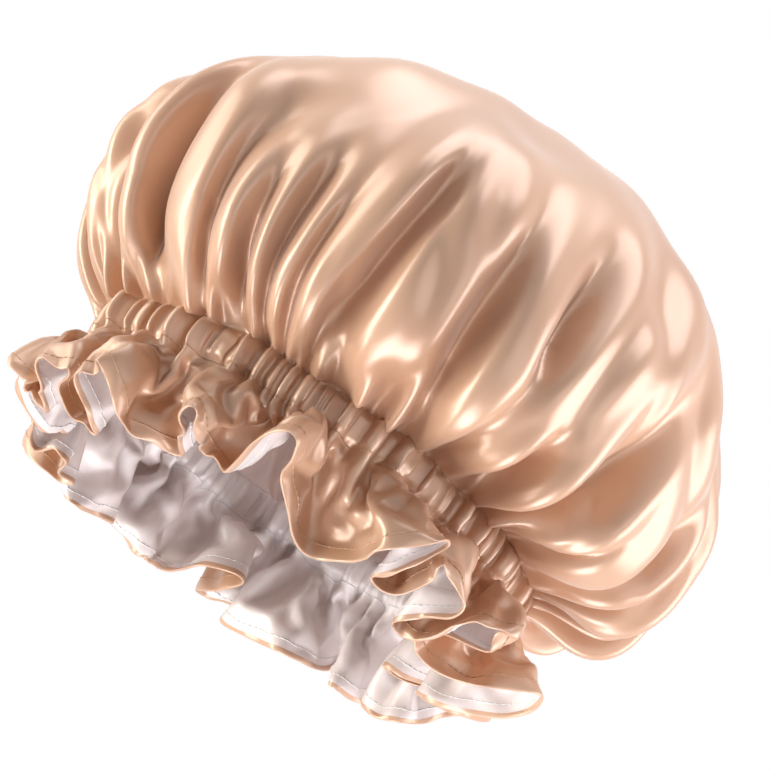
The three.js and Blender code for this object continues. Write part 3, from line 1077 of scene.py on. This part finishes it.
def colour_range(tree, source, first, second):
    ramp = node_in(tree, "ShaderNodeValToRGB")
    ramp.color_ramp.elements[0].position = NOISE_LOW
    ramp.color_ramp.elements[1].position = NOISE_HIGH
    ramp.color_ramp.elements[0].color = (*first, 1)
    ramp.color_ramp.elements[1].color = (*second, 1)
    tree.links.new(source, ramp.inputs["Fac"])
    return ramp.outputs["Color"]


print("patterns run from", NOISE_LOW, "to", NOISE_HIGH, "of the noise")

# %% Satin finish
GRAIN_ALONG = 260
GRAIN_ACROSS = 1500
CLOUD_SCALE = 9
GRAIN_HEIGHT = 0.06 * MM


def satin(name, dark, light, gloss, metal, through, through_share):
    finish = bpy.data.materials.new(name)
    finish.use_nodes = True
    tree = finish.node_tree
    tree.nodes.clear()
    face = node_in(tree, "ShaderNodeBsdfPrincipled")
    thin = node_in(tree, "ShaderNodeBsdfTranslucent")
    mix = node_in(tree, "ShaderNodeMixShader")
    bump = node_in(tree, "ShaderNodeBump")
    out = node_in(tree, "ShaderNodeOutputMaterial")
    grain = stretched_noise(tree, GRAIN_ALONG, GRAIN_ACROSS, 3)
    cloud = stretched_noise(tree, CLOUD_SCALE, CLOUD_SCALE, 2)
    tree.links.new(colour_range(tree, cloud.outputs["Fac"], dark, light), face.inputs["Base Color"])
    tree.links.new(value_range(tree, grain.outputs["Fac"], *gloss), face.inputs["Roughness"])
    face.inputs["Metallic"].default_value = metal
    face.inputs["Specular IOR Level"].default_value = 1.0
    face.inputs["Sheen Weight"].default_value = 0.4
    face.inputs["Sheen Roughness"].default_value = 0.35
    face.inputs["Sheen Tint"].default_value = (1.0, 0.95, 0.94, 1)
    bump.inputs["Strength"].default_value = 0.35
    bump.inputs["Distance"].default_value = GRAIN_HEIGHT
    tree.links.new(grain.outputs["Fac"], bump.inputs["Height"])
    tree.links.new(bump.outputs["Normal"], face.inputs["Normal"])
    thin.inputs["Color"].default_value = (*through, 1)
    mix.inputs["Fac"].default_value = through_share
    tree.links.new(face.outputs[0], mix.inputs[1])
    tree.links.new(thin.outputs[0], mix.inputs[2])
    tree.links.new(mix.outputs[0], out.inputs["Surface"])
    return finish


gold_finish = satin(
    "gold_satin", dark=(0.57, 0.34, 0.222), light=(0.66, 0.42, 0.283), gloss=(0.28, 0.38), metal=0.12,
    through=(0.75, 0.4, 0.17), through_share=0.1,
)
white_finish = satin(
    "white_satin", dark=(0.9, 0.86, 0.87), light=(0.93, 0.9, 0.91), gloss=(0.36, 0.46), metal=0.0,
    through=(0.92, 0.8, 0.76), through_share=0.25,
)
gold.data.materials.append(gold_finish)
white.data.materials.append(white_finish)
print("satin finishes:", gold_finish.name, white_finish.name)

# %% [markdown]
# ## Thread and elastic finishes
# Sewing thread is twisted, so it shows slanted ridges and a slight gloss. Braided elastic has ribs
# along its length. Both patterns are worked out from the place on the piece, so no map is needed.

# %% Thread finish
TWISTS = 1600
TWIST_HEIGHT = 0.04 * MM


def thread_finish(name, dark, light):
    finish = bpy.data.materials.new(name)
    finish.use_nodes = True
    tree = finish.node_tree
    face = tree.nodes["Principled BSDF"]
    place = node_in(tree, "ShaderNodeTexCoord")
    twist = node_in(tree, "ShaderNodeTexWave", bands_direction="DIAGONAL")
    bump = node_in(tree, "ShaderNodeBump")
    twist.inputs["Scale"].default_value = TWISTS
    twist.inputs["Distortion"].default_value = 1.5
    tree.links.new(place.outputs["Object"], twist.inputs["Vector"])
    tree.links.new(colour_range(tree, twist.outputs["Fac"], dark, light), face.inputs["Base Color"])
    face.inputs["Roughness"].default_value = 0.5
    face.inputs["Sheen Weight"].default_value = 0.2
    bump.inputs["Distance"].default_value = TWIST_HEIGHT
    tree.links.new(twist.outputs["Fac"], bump.inputs["Height"])
    tree.links.new(bump.outputs["Normal"], face.inputs["Normal"])
    return finish


gold_thread = thread_finish("gold_thread", (0.5, 0.29, 0.16), (0.66, 0.42, 0.26))
white_thread = thread_finish("white_thread", (0.74, 0.73, 0.74), (0.86, 0.86, 0.87))
print("thread finishes:", gold_thread.name, white_thread.name)

# %% Elastic finish
RIBS_PER_METRE = 1100
RIB_HEIGHT = 0.15 * MM


def elastic_finish():
    finish = bpy.data.materials.new("braided_elastic")
    finish.use_nodes = True
    tree = finish.node_tree
    face = tree.nodes["Principled BSDF"]
    place = node_in(tree, "ShaderNodeTexCoord")
    ribs = node_in(tree, "ShaderNodeTexWave", bands_direction="Z")
    bump = node_in(tree, "ShaderNodeBump")
    ribs.inputs["Scale"].default_value = RIBS_PER_METRE / TURN
    ribs.inputs["Distortion"].default_value = 0.4
    tree.links.new(place.outputs["Object"], ribs.inputs["Vector"])
    colour = colour_range(tree, ribs.outputs["Fac"], (0.72, 0.7, 0.67), (0.84, 0.83, 0.81))
    tree.links.new(colour, face.inputs["Base Color"])
    face.inputs["Roughness"].default_value = 0.8
    bump.inputs["Distance"].default_value = RIB_HEIGHT
    tree.links.new(ribs.outputs["Fac"], bump.inputs["Height"])
    tree.links.new(bump.outputs["Normal"], face.inputs["Normal"])
    return finish


elastic.data.materials.append(elastic_finish())
tack.data.materials.append(white_thread)
for thread in needle_threads.values():
    thread.data.materials.append(gold_thread)
for thread in bobbin_threads.values():
    thread.data.materials.append(white_thread)
print("elastic finish:", elastic.data.materials[0].name)

# %% [markdown]
# ## What each piece stands for
# Each new piece is listed with the CAD node it replaces and the slot of the record that gives its
# finish. The bonnet has no joints, so everything rides on its one body, and the CAD node that
# each piece replaces is hidden.

# %% Pieces and slots
PIECES = [
    (gold, "outer_satin", "gold_satin"),
    (white, "lining_satin", "white_satin"),
    (elastic, "elastic_band", "elastic"),
    (tack, "elastic_lap_tack", "white_thread"),
]
for row in ROWS:
    PIECES.append((needle_threads[row], row + "_needle_thread", "gold_thread"))
    PIECES.append((bobbin_threads[row], row + "_bobbin_thread", "white_thread"))

for piece, node, slot in PIECES:
    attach(piece, "root")
    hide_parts(node)
